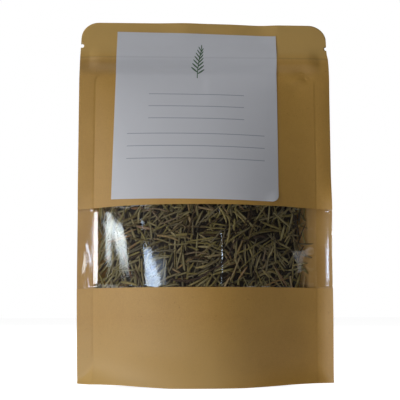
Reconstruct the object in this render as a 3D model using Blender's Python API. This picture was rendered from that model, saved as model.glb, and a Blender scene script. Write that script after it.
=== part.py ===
"""Stand-up kraft pouch with a clear window band, filled with dried rosemary leaves.

Metres, +Z up. The pouch stands on its gusset, its front faces -Y and its width runs along X.
The origin is on the floor under the middle of the pouch.
Each web of the pouch is a thin sheet: a grid set on a formula for the bulged wall, extruded to its thickness.
"""

import math
import random

import bmesh
import bpy
from mathutils import Matrix, Vector

# Pouch, flat outline
POUCH_WIDTH = 0.160
POUCH_HEIGHT = 0.230
SIDE_SEAL = 0.010
CORNER_RADIUS = 0.0085
NOTCH_HEIGHT = 0.2135
NOTCH_RADIUS = 0.0013

# Webs: thickness of each ply, and the gap that keeps two faces apart
PAPER_THICKNESS = 0.0004
FILM_THICKNESS = 0.0003
LABEL_THICKNESS = 0.0003
PLY_GAP = 0.0002

# Window band between the two front papers, and the height where each part starts or ends
WINDOW_BOTTOM = 0.0603
WINDOW_TOP = 0.1106
ZIP_BOTTOM = 0.1985
ZIP_TOP = 0.2075
ZIP_MIDDLE = (ZIP_BOTTOM + ZIP_TOP) / 2
ZIP_RIDGE = 0.0014
ZIP_END = 0.065
FLAP_START = 0.2090
FLAP_LEAN = 0.0050

# How far the filled wall stands off the seal plane, as (height, depth)
FILL_PROFILE = (
    (0.000, 0.0170),
    (0.022, 0.0198),
    (0.050, 0.0210),
    (0.090, 0.0202),
    (0.125, 0.0168),
    (0.155, 0.0118),
    (0.182, 0.0060),
    (0.1965, 0.0006),
    (0.199, 0.0000),
)
# How far the side edges stand above or below the middle of the same horizontal line
EDGE_LIFT = ((0.000, 0.0018), (0.060, -0.0006), (0.110, -0.0017), (0.200, 0.0000))
FLAT_FOOT = 0.035
SIDE_PULL = 0.0012
CORNER_MOUTH = 0.020
CORNER_SPREAD = 0.014

# Gusset web
GUSSET_END = 0.066
GUSSET_SEAM = 0.005
GUSSET_RISE = 0.034
GUSSET_FLAT = 0.030
GUSSET_BELLY = 0.45
GUSSET_CLEAR = 0.0009

# Label
LABEL_WIDTH = 0.1028
LABEL_HEIGHT = 0.1090
LABEL_CENTRE = (-0.0060, 0.1690)
LABEL_TURN = math.radians(1.25)
LABEL_GAP = 0.00035
LABEL_BRIDGE = 0.0012
LABEL_FINE_STEP = 0.0027
LABEL_FINE_REACH = 0.0040

# Rosemary: the heap's smaller core and the leaves that stand out of it
FILL_SIDE = 0.058
FILL_TOP = 0.124
FILL_FRONT_INSET = 0.0034
FILL_BACK_INSET = 0.0026
FILL_FLOOR_GAP = 0.0015
FILL_SEED = 41
WINDOW_NEEDLES = 250
FRONT_NEEDLES = 60
BACK_NEEDLES = 75
TOP_NEEDLES = 25
NEEDLE_RADIUS = 0.00078
NEEDLE_TIP = 0.6
NEEDLE_LENGTHS = (0.009, 0.017)
NEEDLE_SUNK = 0.0012
NEEDLE_APART = 0.0015

ROW_STEP = 0.0125
COLUMN_STEP = 0.011


def material(name, colour, roughness, alpha=1.0):
    """A Principled material with a plain colour."""
    made = bpy.data.materials.new(name)
    made.use_nodes = True
    shader = made.node_tree.nodes["Principled BSDF"]
    shader.inputs["Base Color"].default_value = (*colour, 1.0)
    shader.inputs["Roughness"].default_value = roughness
    shader.inputs["Metallic"].default_value = 0.0
    shader.inputs["Alpha"].default_value = alpha
    return made


def smooth_through(stations, at):
    """A smooth curve through (place, value) stations, level past both ends."""
    if at <= stations[0][0]:
        return stations[0][1]
    if at >= stations[-1][0]:
        return stations[-1][1]
    spans = list(zip(stations, stations[1:]))
    slopes = [(b[1] - a[1]) / (b[0] - a[0]) for a, b in spans]
    ends = [0.0]
    for before, after in zip(slopes, slopes[1:]):
        ends.append(0.0 if before * after <= 0 else 2 * before * after / (before + after))
    ends.append(0.0)
    i = next(k for k, (a, b) in enumerate(spans) if at <= b[0])
    (x0, y0), (x1, y1) = spans[i]
    width = x1 - x0
    t = (at - x0) / width
    rise = y0 * (2 * t**3 - 3 * t**2 + 1) + y1 * (3 * t**2 - 2 * t**3)
    turn = ends[i] * (t**3 - 2 * t**2 + t) + ends[i + 1] * (t**3 - t**2)
    return rise + width * turn


def smoothstep(edge0, edge1, at):
    """0 before edge0, 1 after edge1, smooth between."""
    t = min(1.0, max(0.0, (at - edge0) / (edge1 - edge0)))
    return t * t * (3 - 2 * t)


def open_half_width(z):
    """Half the width where front and back stand apart; it runs out to the edge in the bottom corners."""
    inner = POUCH_WIDTH / 2 - SIDE_SEAL
    if z < CORNER_MOUTH:
        inner += CORNER_SPREAD * ((CORNER_MOUTH - z) / CORNER_MOUTH) ** 3
    return inner


def zip_swell(x, z):
    """The low ridge that the closed zip raises across the pouch."""
    across = smoothstep(POUCH_WIDTH / 2 - SIDE_SEAL, ZIP_END, abs(x))
    half = (ZIP_TOP - ZIP_BOTTOM) / 2 + 0.0015
    along = smoothstep(1.0, 0.45, abs(z - ZIP_MIDDLE) / half)
    return ZIP_RIDGE * across * along


def bulge(x, z):
    """How far each wall stands off the seal plane."""
    share = abs(x) / open_half_width(z)
    filled = smooth_through(FILL_PROFILE, z) * max(0.0, 1 - share * share)
    return filled + zip_swell(x, z)


def lean(z):
    """The flap above the zip leans back."""
    share = max(0.0, z - FLAP_START) / (POUCH_HEIGHT - FLAP_START)
    return FLAP_LEAN * share**1.5


def lifted(x, z):
    """The height of a point whose height in the flat web is z; only the foot between the corners is flat."""
    outer = max(0.0, abs(x) - FLAT_FOOT) / (POUCH_WIDTH / 2 - FLAT_FOOT)
    return z + smooth_through(EDGE_LIFT, z) * outer**2


def pulled(x, z):
    """The width shrinks a little where the walls bulge."""
    full = smooth_through(FILL_PROFILE, z) / max(depth for _, depth in FILL_PROFILE)
    return x * (1 - SIDE_PULL / (POUCH_WIDTH / 2) * full**2)


def front_point(x, z, offset):
    """A point of the front wall, offset from the seal plane before it bulges."""
    return Vector((pulled(x, z), offset - bulge(x, z) + lean(z), lifted(x, z)))


def back_point(x, z, offset):
    """A point of the back wall."""
    return Vector((pulled(x, z), offset + bulge(x, z) + lean(z), lifted(x, z)))


def spaced(places, step):
    """Places from the first to the last of a list, each stretch cut evenly to at most step."""
    found = [places[0]]
    for low, high in zip(places, places[1:]):
        parts = max(1, math.ceil((high - low) / step - 1e-6))
        found += [low + (high - low) * (k + 1) / parts for k in range(parts)]
    return found


def sheet_columns():
    half = POUCH_WIDTH / 2
    seal = half - SIDE_SEAL
    return spaced([-half, -seal, -ZIP_END, ZIP_END, seal, half], COLUMN_STEP)


def sheet_rows(low, high):
    """Heights of the rows between low and high, with a row at each place where the wall turns."""
    turns = [0.0, 0.005, 0.011, CORNER_MOUTH, WINDOW_BOTTOM, WINDOW_TOP, 0.182, ZIP_BOTTOM]
    turns += [0.2008, ZIP_MIDDLE, 0.2052, ZIP_TOP, FLAP_START, POUCH_HEIGHT]
    return spaced([z for z in turns if low - 1e-6 <= z <= high + 1e-6], ROW_STEP)


def add_object(name, mesh, finish, collection):
    """A new object with its material, in the collection."""
    made = bpy.data.objects.new(name, mesh)
    collection.objects.link(made)
    if finish:
        mesh.materials.append(finish)
    return made


def grid_on(columns, rows, place):
    """A triangulated grid whose points lie where place(column, row) says."""
    surface = bmesh.new()
    bmesh.ops.create_grid(surface, x_segments=len(columns) - 1, y_segments=len(rows) - 1, size=0.5)
    for point in surface.verts:
        column = round((point.co.x + 0.5) * (len(columns) - 1))
        row = round((point.co.y + 0.5) * (len(rows) - 1))
        point.co = place(columns[column], rows[row])
    bmesh.ops.triangulate(surface, faces=surface.faces[:], quad_method="FIXED")
    return surface


def closed_mesh(name, surface):
    """The bmesh as a mesh whose faces point outwards, smooth but for its sharp edges."""
    bmesh.ops.recalc_face_normals(surface, faces=surface.faces[:])
    mesh = bpy.data.meshes.new(name)
    surface.to_mesh(mesh)
    surface.free()
    mesh.shade_smooth()
    mesh.set_sharp_from_angle(angle=math.radians(35))
    return mesh


def thicken(surface, thickness):
    """Extrudes the surface along +Y, so that both faces and the rim match point for point."""
    made = bmesh.ops.extrude_face_region(surface, geom=surface.faces[:])
    moved = [item for item in made["geom"] if isinstance(item, bmesh.types.BMVert)]
    bmesh.ops.translate(surface, verts=moved, vec=Vector((0, thickness, 0)))


def web(name, low, high, wall, offset, thickness, finish, collection):
    """One ply of the pouch between two heights."""
    surface = grid_on(sheet_columns(), sheet_rows(low, high), lambda x, z: wall(x, z, offset))
    thicken(surface, thickness)
    return add_object(name, closed_mesh(name, surface), finish, collection)


def corner_cutter(name, side, collection):
    """The waste outside a rounded top corner, as a block with a quarter round cut out of it."""
    centre_x = POUCH_WIDTH / 2 - CORNER_RADIUS
    centre_z = POUCH_HEIGHT - CORNER_RADIUS
    reach = 0.03
    outline = [
        (centre_x + CORNER_RADIUS * math.sin(turn), centre_z + CORNER_RADIUS * math.cos(turn))
        for turn in (math.radians(90) * k / 6 for k in range(7))
    ]
    outline += [(centre_x + reach, centre_z), (centre_x + reach, centre_z + reach), (centre_x, centre_z + reach)]
    block = bmesh.new()
    points = [block.verts.new((side * x, -reach, z)) for x, z in outline]
    block.faces.new(points)
    thicken(block, 2 * reach)
    return add_object(name, closed_mesh(name, block), None, collection)


def notch_cutter(name, side, collection):
    """A round bar that bites the tear notch out of one side edge."""
    bar = bmesh.new()
    turn = Matrix.Rotation(math.radians(90), 4, "X")
    place = Matrix.Translation((side * POUCH_WIDTH / 2, 0, NOTCH_HEIGHT))
    bmesh.ops.create_cone(
        bar,
        cap_ends=True,
        segments=10,
        radius1=NOTCH_RADIUS,
        radius2=NOTCH_RADIUS,
        depth=0.08,
        matrix=place @ turn,
    )
    return add_object(name, closed_mesh(name, bar), None, collection)


def cut(target, cutters):
    """Takes each cutter out of the target."""
    for cutter in cutters:
        bite = target.modifiers.new(cutter.name, "BOOLEAN")
        bite.operation = "DIFFERENCE"
        bite.solver = "EXACT"
        bite.object = cutter


def cavity_front(x, z):
    """The inner face of the front film."""
    return FILM_THICKNESS / 2 - bulge(x, z)


def cavity_back(x, z):
    """The inner face of the back panel."""
    return FILM_THICKNESS / 2 + PLY_GAP + bulge(x, z)


def keel(x):
    """The height of the gusset's belly; it rests on the floor in the middle and rises to its ends."""
    share = max(0.0, abs(x) - GUSSET_FLAT) / (GUSSET_END - GUSSET_FLAT)
    return GUSSET_RISE * share**2


def seam(x):
    """The height where the gusset web leaves the front and back webs."""
    share = max(0.0, abs(x) - GUSSET_FLAT) / (GUSSET_END - GUSSET_FLAT)
    return GUSSET_SEAM + (GUSSET_RISE + 0.001 - GUSSET_SEAM) * share**2


def gusset_point(x, step):
    """A point of the gusset web. Step runs from -9, the front hem, over 0, the belly, to 9, the back hem."""
    side = -1 if step < 0 else 1
    place = abs(step)
    if place >= 5:
        z = 0.0002 + (seam(x) - 0.0002) * (9 - place) / 4
        share = 1.0
    else:
        share = (0.0, GUSSET_BELLY, 0.62, 0.80, 0.93)[place]
        z = keel(x) + (seam(x) - keel(x)) * (max(0.0, share - GUSSET_BELLY) / (1 - GUSSET_BELLY)) ** 2
    reach = cavity_front(x, z) + GUSSET_CLEAR if side < 0 else cavity_back(x, z) - GUSSET_CLEAR
    middle = (cavity_front(x, z) + cavity_back(x, z)) / 2
    return Vector((pulled(x, z), middle + (reach - middle) * share, lifted(x, z)))


def bottom_gusset(finish, collection):
    """The folded bottom web: a sagging belly between two hems that are sealed inside the walls."""
    inner = [x for x in sheet_columns() if abs(x) < GUSSET_END]
    columns = [-GUSSET_END, *inner, GUSSET_END]
    surface = grid_on(columns, list(range(-9, 10)), gusset_point)
    bmesh.ops.solidify(surface, geom=surface.faces[:], thickness=-FILM_THICKNESS)
    return add_object("bottom_gusset", closed_mesh("bottom_gusset", surface), finish, collection)


def rail(name, outline, finish, collection):
    """A zip rail: a flat outline in Y and Z, run along X between the side seals."""
    bar = bmesh.new()
    points = [bar.verts.new((-ZIP_END, y, ZIP_MIDDLE + z)) for y, z in outline]
    bar.faces.new(points)
    made = bmesh.ops.extrude_face_region(bar, geom=bar.faces[:])
    moved = [item for item in made["geom"] if isinstance(item, bmesh.types.BMVert)]
    bmesh.ops.translate(bar, verts=moved, vec=Vector((2 * ZIP_END, 0, 0)))
    return add_object(name, closed_mesh(name, bar), finish, collection)


def zip_rails(finish, collection):
    """The two halves of the press-to-close zip: a groove on the film and a rib on the back web."""
    front = FILM_THICKNESS / 2 - ZIP_RIDGE + 0.00015
    back = FILM_THICKNESS / 2 + PLY_GAP + ZIP_RIDGE - 0.00015
    tape = 0.0003
    tape_half = 0.0015
    jaw = front + tape + 0.0010
    groove = [
        (front, -tape_half),
        (jaw, -tape_half),
        (jaw, -0.0006),
        (jaw - 0.0004, -0.0006),
        (jaw - 0.0004, -0.0009),
        (front + tape, -0.0009),
        (front + tape, 0.0009),
        (jaw - 0.0004, 0.0009),
        (jaw - 0.0004, 0.0006),
        (jaw, 0.0006),
        (jaw, tape_half),
        (front, tape_half),
    ]
    rib_tip = front + tape + 0.00015
    rib = [
        (back, -tape_half),
        (back, tape_half),
        (back - tape, tape_half),
        (back - tape, 0.0002),
        (jaw - 0.00055, 0.0002),
        (jaw - 0.00055, 0.0004),
        (rib_tip, 0.0001),
        (rib_tip, -0.0001),
        (jaw - 0.00055, -0.0004),
        (jaw - 0.00055, -0.0002),
        (back - tape, -0.0002),
        (back - tape, -tape_half),
    ]
    rail("zip_groove_rail", groove, finish, collection)
    rail("zip_rib_rail", rib, finish, collection)


def paper_face(x, z):
    """The depth of the front paper's outer face where the pouch is seen at x and z."""
    flat_z = z - (lifted(x, z) - z)
    flat_x = x * x / pulled(x, flat_z) if x else 0.0
    ply = FILM_THICKNESS / 2 + PLY_GAP + PAPER_THICKNESS
    return lean(flat_z) - ply - bulge(flat_x, flat_z)


def label_point(across, up):
    """A point of the label's outer face, which bridges the small hollows of the paper."""
    x = LABEL_CENTRE[0] + across * math.cos(LABEL_TURN) + up * math.sin(LABEL_TURN)
    z = LABEL_CENTRE[1] - across * math.sin(LABEL_TURN) + up * math.cos(LABEL_TURN)
    near = [paper_face(x, z + shift) for shift in (-LABEL_BRIDGE, 0.0, LABEL_BRIDGE)]
    return Vector((x, min(near) - LABEL_GAP - LABEL_THICKNESS, z))


def label(finish, collection):
    """The plain paper label on the upper front."""
    half = LABEL_HEIGHT / 2
    columns = spaced([-LABEL_WIDTH / 2, LABEL_WIDTH / 2], COLUMN_STEP)
    low_zip = ZIP_BOTTOM - LABEL_CENTRE[1] - LABEL_FINE_REACH
    high_zip = FLAP_START - LABEL_CENTRE[1] + LABEL_FINE_REACH
    rows = spaced([-half, low_zip], ROW_STEP)[:-1]
    rows += spaced([low_zip, high_zip], LABEL_FINE_STEP)
    rows += [half]
    surface = grid_on(columns, rows, label_point)
    thicken(surface, LABEL_THICKNESS)
    return add_object("label", closed_mesh("label", surface), finish, collection)


def heap_top(x):
    """The height of the heap of leaves, which sinks towards the sides."""
    return FILL_TOP - 0.012 * (x / FILL_SIDE) ** 2 + 0.002 * math.sin(90 * x)


def heap_front(x, z):
    """The front of the heap's core."""
    return cavity_front(x, z) + FILL_FRONT_INSET


def heap_back(x, z):
    """The back of the heap's core."""
    return cavity_back(x, z) - FILL_BACK_INSET


def heap_core():
    """The smaller solid inside the heap of leaves, clear of every wall."""
    columns = spaced([-FILL_SIDE, FILL_SIDE], 0.0117)
    shares = [k / 9 for k in range(10)]

    def place(x, share):
        low = seam(x) + FILL_FLOOR_GAP
        z = low + (heap_top(x) - low) * share
        return Vector((pulled(x, z), 0, z))

    heap = grid_on(columns, shares, place)
    front = heap.verts[:]
    made = bmesh.ops.extrude_face_region(heap, geom=heap.faces[:])
    back = [item for item in made["geom"] if isinstance(item, bmesh.types.BMVert)]
    for wall, points in ((heap_front, front), (heap_back, back)):
        for point in points:
            point.co.y = wall(point.co.x, point.co.z)
    return closed_mesh("heap_core", heap)


def add_needle(name, middle, along, out, length, collection):
    """One dried leaf: a three-sided tapering bar."""
    bar = bmesh.new()
    frame = Matrix((along.cross(out), out, along)).transposed().to_4x4()
    bmesh.ops.create_cone(
        bar,
        cap_ends=True,
        segments=3,
        radius1=NEEDLE_RADIUS,
        radius2=NEEDLE_RADIUS * NEEDLE_TIP,
        depth=length,
        matrix=Matrix.Translation(middle) @ frame,
    )
    return add_object(name, closed_mesh(name, bar), None, collection)


def clear_of_walls(point):
    """True if a leaf round this point keeps clear of the walls and of the gusset."""
    x, y, z = point
    clear = NEEDLE_RADIUS + 0.0002
    return cavity_front(x, z) + clear < y < cavity_back(x, z) - clear and z > seam(x) + clear + FILL_FLOOR_GAP


def wall_needle(draw, low, high, wall, side):
    """Middle, direction, outward side and length of a leaf that lies against the front or back."""
    x = draw.uniform(-0.0615, 0.0610)
    z = draw.uniform(low, high)
    turn = draw.uniform(0, math.pi)
    length = draw.uniform(*NEEDLE_LENGTHS)
    tilt = draw.uniform(0.08, 0.20)
    slope = (bulge(x + 0.002, z) - bulge(x - 0.002, z)) / 0.004
    out = Vector((-slope, side, 0)).normalized()
    flat = Vector((math.cos(turn), 0, math.sin(turn)))
    along = (flat - out * flat.dot(out)).normalized()
    along = (along + out * tilt).normalized()
    root = Vector((x, wall(x, z), z)) - out * NEEDLE_SUNK
    return root, along, (out - along * out.dot(along)).normalized(), length


def top_needle(draw):
    """The same for a leaf on top of the heap."""
    x = draw.uniform(-0.050, 0.050)
    z = heap_top(x)
    y = draw.uniform(-0.6, 0.6) * bulge(x, z)
    turn = draw.uniform(0, 2 * math.pi)
    length = draw.uniform(*NEEDLE_LENGTHS)
    along = Vector((math.cos(turn), 0.5 * math.sin(turn), draw.uniform(0.12, 0.45))).normalized()
    out = Vector((0, 0, 1))
    root = Vector((x, y, z)) - out * NEEDLE_SUNK
    return root, along, (out - along * out.dot(along)).normalized(), length


def rosemary_needles(collection):
    """Leaves over the whole heap, closest together behind the window, few of them crossing."""
    draw = random.Random(FILL_SEED)
    top = FILL_TOP - 0.014
    kinds = (
        (WINDOW_NEEDLES, lambda: wall_needle(draw, WINDOW_BOTTOM - 0.004, WINDOW_TOP + 0.004, heap_front, -1)),
        (FRONT_NEEDLES, lambda: wall_needle(draw, 0.012, top, heap_front, -1)),
        (BACK_NEEDLES, lambda: wall_needle(draw, 0.012, top, heap_back, 1)),
        (TOP_NEEDLES, lambda: top_needle(draw)),
    )
    taken = []
    for count, draw_one in kinds:
        placed = 0
        while placed < count:
            root, along, out, length = draw_one()
            marks = [root + along * length * share for share in (0.0, 0.25, 0.5, 0.75, 1.0)]
            crowded = sum((mark - other).length < NEEDLE_APART for mark in marks for other in taken)
            if crowded <= 1 and all(clear_of_walls(mark) for mark in marks):
                add_needle(f"needle_{len(taken)}", (marks[0] + marks[-1]) / 2, along, out, length, collection)
                taken += marks
                placed += 1


def keep_largest_shell(mesh):
    """Drops loose scraps and sealed hollows, which fusing can leave."""
    shape = bmesh.new()
    shape.from_mesh(mesh)
    left = set(shape.verts)
    shells = []
    while left:
        shell = {left.pop()}
        edge = list(shell)
        while edge:
            point = edge.pop()
            beside = {line.other_vert(point) for line in point.link_edges} & left
            left -= beside
            shell |= beside
            edge += beside
        shells.append(shell)
    largest = max(shells, key=len)
    bmesh.ops.delete(shape, geom=[point for point in shape.verts if point not in largest], context="VERTS")
    shape.to_mesh(mesh)
    shape.free()


def rosemary_leaves(finish, collection):
    """The heap of dried leaves, fused into one body."""
    needles = bpy.data.collections.new("needles")
    bpy.context.scene.collection.children.link(needles)
    core = add_object("rosemary_leaves", heap_core(), finish, collection)
    rosemary_needles(needles)
    join = core.modifiers.new("needles", "BOOLEAN")
    join.operation = "UNION"
    join.operand_type = "COLLECTION"
    join.collection = needles
    join.solver = "MANIFOLD"
    bpy.context.view_layer.update()
    graph = bpy.context.evaluated_depsgraph_get()
    fused = bpy.data.meshes.new_from_object(core.evaluated_get(graph))
    core.modifiers.clear()
    core.data = fused
    keep_largest_shell(fused)
    fused.name = "rosemary_leaves"
    for needle in list(needles.objects):
        bpy.data.objects.remove(needle)
    bpy.data.collections.remove(needles)
    return core


def main():
    for found in list(bpy.data.objects):
        bpy.data.objects.remove(found)
    pouch = bpy.data.collections.new("rosemary_pouch")
    cutters = bpy.data.collections.new("cutters")
    for collection in (pouch, cutters):
        bpy.context.scene.collection.children.link(collection)

    kraft = material("kraft_paper", (0.45, 0.32, 0.15), 0.8)
    film = material("clear_film", (0.95, 0.95, 0.92), 0.08, alpha=0.2)
    paper = material("label_paper", (0.84, 0.84, 0.87), 0.6)
    leaf = material("dried_rosemary", (0.15, 0.14, 0.07), 0.75)

    bites = [corner_cutter(f"corner_{side:+d}", side, cutters) for side in (-1, 1)]
    bites += [notch_cutter(f"notch_{side:+d}", side, cutters) for side in (-1, 1)]
    for bite in bites:
        bite.hide_render = True
        bite.display_type = "WIRE"

    film_front = -FILM_THICKNESS / 2
    paper_front = film_front - PLY_GAP - PAPER_THICKNESS
    back_front = FILM_THICKNESS / 2 + PLY_GAP
    plies = (
        ("front_paper_upper", WINDOW_TOP, POUCH_HEIGHT, front_point, paper_front, PAPER_THICKNESS, kraft),
        ("front_paper_lower", 0.0, WINDOW_BOTTOM, front_point, paper_front, PAPER_THICKNESS, kraft),
        ("window_film", 0.0, POUCH_HEIGHT, front_point, film_front, FILM_THICKNESS, film),
        ("back_panel", 0.0, POUCH_HEIGHT, back_point, back_front, PAPER_THICKNESS, kraft),
    )
    for name, low, high, wall, offset, thickness, finish in plies:
        ply = web(name, low, high, wall, offset, thickness, finish, pouch)
        if high == POUCH_HEIGHT:
            cut(ply, bites)

    bottom_gusset(kraft, pouch)
    zip_rails(film, pouch)
    label(paper, pouch)
    rosemary_leaves(leaf, pouch)


main()
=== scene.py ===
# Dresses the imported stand-up pouch: kraft paper plies, clear window film, label and loose dried rosemary
import random
from math import atan2, ceil, cos, exp, hypot, pi, radians, sin, sqrt, tau

import bmesh
import bpy
import numpy as np
from mathutils import Matrix, Vector, noise


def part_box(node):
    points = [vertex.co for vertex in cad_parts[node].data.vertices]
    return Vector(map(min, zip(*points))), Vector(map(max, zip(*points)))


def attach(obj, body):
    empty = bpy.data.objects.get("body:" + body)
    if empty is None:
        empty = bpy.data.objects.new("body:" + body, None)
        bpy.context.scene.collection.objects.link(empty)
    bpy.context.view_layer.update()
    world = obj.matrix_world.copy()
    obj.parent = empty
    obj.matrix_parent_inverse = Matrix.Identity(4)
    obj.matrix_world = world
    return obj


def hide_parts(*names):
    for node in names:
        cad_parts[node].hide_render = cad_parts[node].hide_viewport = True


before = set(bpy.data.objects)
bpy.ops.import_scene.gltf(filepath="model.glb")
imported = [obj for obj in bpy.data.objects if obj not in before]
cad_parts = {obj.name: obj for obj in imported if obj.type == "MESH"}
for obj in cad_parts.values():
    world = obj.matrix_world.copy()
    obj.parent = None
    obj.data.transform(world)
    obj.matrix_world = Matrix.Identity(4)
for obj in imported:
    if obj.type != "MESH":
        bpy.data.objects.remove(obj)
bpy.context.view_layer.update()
print("frame loaded:", len(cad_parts), "nodes")

# The flat pouch, in metres; its width and height come from the frame
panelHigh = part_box("back_panel")[1]
pouch = {
    "halfWidth": panelHigh.x, "height": panelHigh.z, "seal": 0.01, "cornerRadius": 0.011, "notchRadius": 0.0014,
    "notches": {-1: (0.0006, 0.2139), 1: (-0.0001, 0.2134)}, "windowBottom": 0.0603, "windowTop": 0.1106,
    "flatFoot": 0.035, "cornerMouth": 0.02, "cornerSpread": 0.014, "flapStart": 0.209,
}
innerHalf = pouch["halfWidth"] - pouch["seal"]
windowBottom, windowTop = pouch["windowBottom"], pouch["windowTop"]
# how far the filled wall stands off the seal plane, and the side edges lift, by height
fillProfile = (
    (0.0, 0.017), (0.022, 0.0198), (0.05, 0.021), (0.09, 0.0202), (0.125, 0.0168),
    (0.155, 0.0118), (0.182, 0.006), (0.1965, 0.0006), (0.199, 0.0),
)
edgeLift = ((0.0, 0.0018), (0.06, -0.0006), (0.11, -0.0017), (0.2, 0.0))
# how far the side edges are drawn in, by height
sidePull = {-1: ((0.0, 0.0012), (0.006, 0.001), (0.027, 0.0006), (0.052, 0.0002), (0.075, 0.0), (0.12, 0.0),
                 (0.19, 0.0001), (0.205, 0.0006), (0.217, 0.0011), (0.23, 0.0012)),
            1: ((0.0, 0.0014), (0.027, 0.0011), (0.06, 0.0008), (0.09, 0.0006), (0.113, 0.0002), (0.13, 0.0),
                (0.192, 0.0), (0.205, 0.0007), (0.211, 0.0016), (0.23, 0.0016))}
# how far the mouth leans back at its top edge, by place across
mouthLean = ((-0.08, 0.0032), (-0.06, 0.0029), (-0.033, 0.0028), (-0.013, 0.0017), (0.0, 0.0027),
             (0.017, 0.0036), (0.037, 0.0057), (0.05, 0.0042), (0.08, 0.0046))
# how far the bottom edge lifts, by distance across
bottomLift = {"stations": ((0.02, 0.0), (0.033, 0.0005), (0.044, 0.001), (0.054, 0.0013), (0.064, 0.0011),
                           (0.08, 0.0002)), "left": 1.1, "right": 0.75, "fade": 0.036}
# the closed zip's ridge rises from low to rise, runs flat to fall and ends at high; a thin bead runs along its
# upper side, across the side seals too
zipRidge = {"low": 0.196, "rise": 0.203, "fall": 0.2056, "high": 0.216, "height": 0.0022, "full": 0.066,
            "none": 0.079, "crushed": 0.3, "bead": 0.2062, "beadHalf": 0.0006, "beadHeight": 0.00028}
# the open inside ends in rounded corners below the zip, with dents in the paper beside the right one
openCorner = {"top": 0.1958, "radius": 0.0055}
# each dent: place in X and Z, width, height, and how far it stands out
dents = ((0.062, 0.1985, 0.0042, 0.0026, -0.00085), (0.0655, 0.1935, 0.003, 0.0022, -0.0006),
         (0.0585, 0.192, 0.004, 0.0014, 0.00055), (0.058, 0.186, 0.007, 0.005, -0.0005))
# on the right the wall runs out into the seal in a soft S; the seals turn away from flat, by height: the slope of
# the left one and the curl per metre of the right one, forward where negative
wallRunOut = {"amount": 0.35, "power": 6, "lowAmount": 0.8, "lowPower": 4, "low": 0.06, "high": 0.105}
sealSlope = {"left": ((0.0, 0.26), (0.05, 0.28), (0.107, 0.28), (0.124, 0.17), (0.15, 0.14), (0.19, 0.06),
                      (0.205, 0.0)),
             "right": ((0.0, -34.0), (0.04, -36.0), (0.064, -30.0), (0.108, -29.0), (0.135, 8.0), (0.18, 10.0),
                       (0.205, 0.0))}
# the plies at the side seals, as (front face, thickness) in Y
plies = {"paper": (-0.00063, 0.00042), "film": (-0.00018, 0.00036), "back": (0.00021, 0.00044)}


def smoothThrough(stations, at):
    # level past both ends, and never past a station in between
    if at <= stations[0][0]:
        return stations[0][1]
    if at >= stations[-1][0]:
        return stations[-1][1]
    slopes = [(b[1] - a[1]) / (b[0] - a[0]) for a, b in zip(stations, stations[1:])]
    ends = [0.0]
    for before, after in zip(slopes, slopes[1:]):
        ends.append(0.0 if before * after <= 0 else 2 * before * after / (before + after))
    ends.append(0.0)
    i = next(k for k in range(len(slopes)) if at <= stations[k + 1][0])
    (x0, y0), (x1, y1) = stations[i], stations[i + 1]
    t = (at - x0) / (x1 - x0)
    rise = y0 * (2 * t**3 - 3 * t**2 + 1) + y1 * (3 * t**2 - 2 * t**3)
    return rise + (x1 - x0) * (ends[i] * (t**3 - 2 * t**2 + t) + ends[i + 1] * (t**3 - t**2))


def smoothstep(edge0, edge1, at):
    t = min(1.0, max(0.0, (at - edge0) / (edge1 - edge0)))
    return t * t * (3 - 2 * t)


fillCache = {}


def fillDepth(z):
    key = round(z, 5)
    if key not in fillCache:
        fillCache[key] = smoothThrough(fillProfile, z)
    return fillCache[key]


def openHalfWidth(z):
    # half the width where front and back stand apart
    inner = innerHalf
    if z < pouch["cornerMouth"]:
        inner += pouch["cornerSpread"] * ((pouch["cornerMouth"] - z) / pouch["cornerMouth"]) ** 3
    return inner


def zipRise(x, z):
    across = smoothstep(zipRidge["none"], zipRidge["full"], abs(x))
    across = max(across, zipRidge["crushed"])
    along = smoothstep(zipRidge["low"], zipRidge["rise"], z) * smoothstep(zipRidge["high"], zipRidge["fall"], z)
    bead = exp(-(((z - zipRidge["bead"]) / zipRidge["beadHalf"]) ** 2))
    return zipRidge["height"] * across * along + zipRidge["beadHeight"] * bead


def bulge(x, z):
    share = min(1.0, abs(x) / openHalfWidth(z))
    drop = share**2
    if x > 0:
        high, low = ((1 + wallRunOut[amount]) * share**2 - wallRunOut[amount] * share ** wallRunOut[power]
                     for amount, power in (("amount", "power"), ("lowAmount", "lowPower")))
        drop = low + (high - low) * smoothstep(wallRunOut["low"], wallRunOut["high"], z)
    return fillDepth(z) * (1 - drop) + zipRise(x, z)


def sealTurn(x, z):
    out = max(0.0, abs(x) - innerHalf)
    if x < 0:
        return out * smoothThrough(sealSlope["left"], z)
    return out**2 * smoothThrough(sealSlope["right"], z)


def lean(x, z):
    share = max(0.0, z - pouch["flapStart"]) / (pouch["height"] - pouch["flapStart"])
    return smoothThrough(mouthLean, x) * share**1.5 if share else 0.0


def lifted(x, z):
    outer = max(0.0, abs(x) - pouch["flatFoot"]) / (pouch["halfWidth"] - pouch["flatFoot"])
    rise = smoothThrough(edgeLift, z) * outer**2
    if z < bottomLift["fade"]:
        share = bottomLift["left" if x < 0 else "right"] * smoothstep(bottomLift["fade"], 0.0, z)
        rise += share * smoothThrough(bottomLift["stations"], abs(x))
    return z + rise


pullCache = {}


def pulled(x, z):
    key = (x > 0, round(z, 5))
    if key not in pullCache:
        pullCache[key] = 1 - smoothThrough(sidePull[1 if x > 0 else -1], z) / pouch["halfWidth"]
    return x * pullCache[key]


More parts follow.
